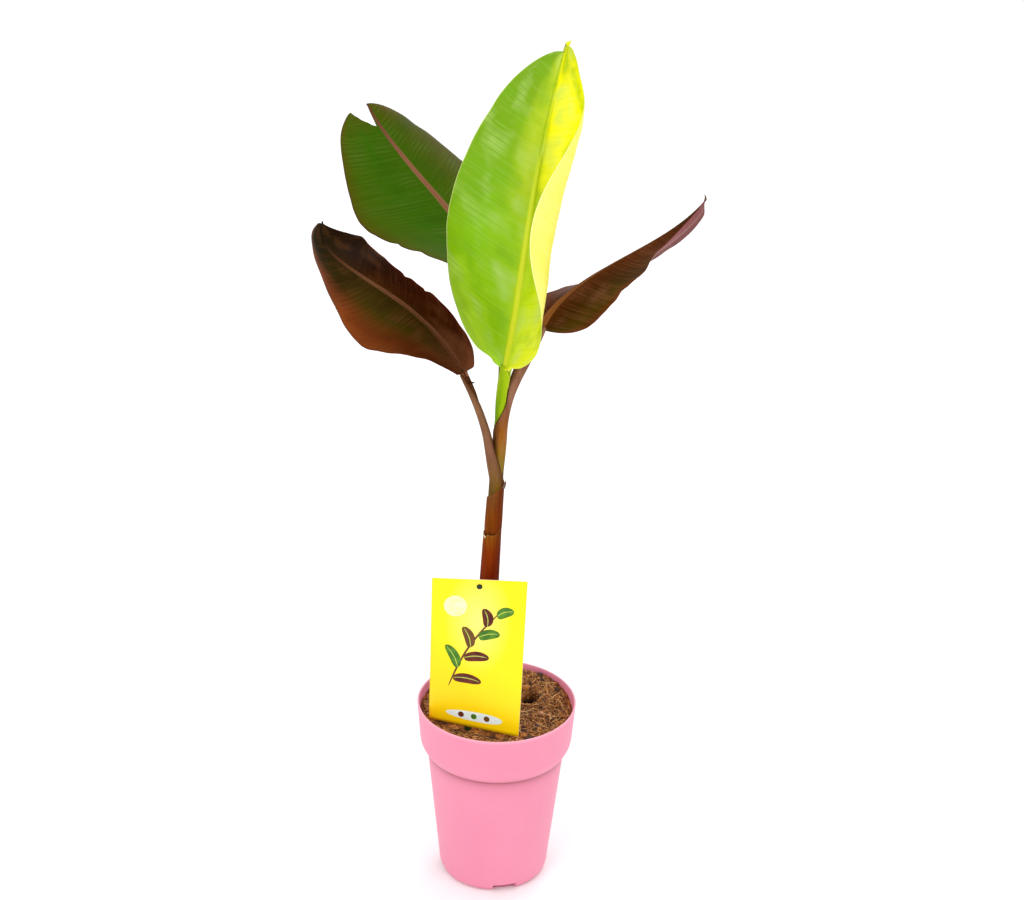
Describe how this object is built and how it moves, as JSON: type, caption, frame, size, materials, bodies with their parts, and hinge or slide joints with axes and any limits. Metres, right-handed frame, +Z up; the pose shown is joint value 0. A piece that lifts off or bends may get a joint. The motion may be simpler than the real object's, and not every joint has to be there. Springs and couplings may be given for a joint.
{
  "type": "potted banana plant",
  "caption": "Young banana plant with a tapering pseudostem and broad green and red-brown leaves, growing in a pink nursery pot with a plain picture label stuck in the soil.",
  "frame": {"origin": "middle of the pot's flat underside", "axes": "+Z up through the plant, +X to the right as the label is seen from the front, +Y away from the viewer"},
  "size_m": [0.3906, 0.2909, 0.9109],
  "materials": {
    "pot_plastic": "satin pink polypropylene",
    "soil": "rough fibrous coir",
    "label_card": "smooth printed plastic card",
    "stem": "smooth, finely ribbed",
    "sheath": "dry, finely ribbed",
    "petiole_green": "smooth, slightly glossy",
    "petiole_brown": "smooth, slightly glossy",
    "leaf_green": "glossy with fine side veins",
    "leaf_dark_green": "satin with fine side veins",
    "leaf_red": "satin with fine side veins"
  },
  "bodies": {
    "root": {"pot": "pot_plastic", "soil": "soil", "label": "label_card", "pseudostem": "stem", "sheath_lower": "sheath", "sheath_upper": "sheath", "petiole_centre": "petiole_green", "petiole_back": "petiole_brown", "petiole_left": "petiole_brown", "petiole_right": "petiole_brown", "blade_centre": "leaf_green", "blade_back": "leaf_dark_green", "blade_left": "leaf_red", "blade_right": "leaf_red"}
  },
  "joints": []
}
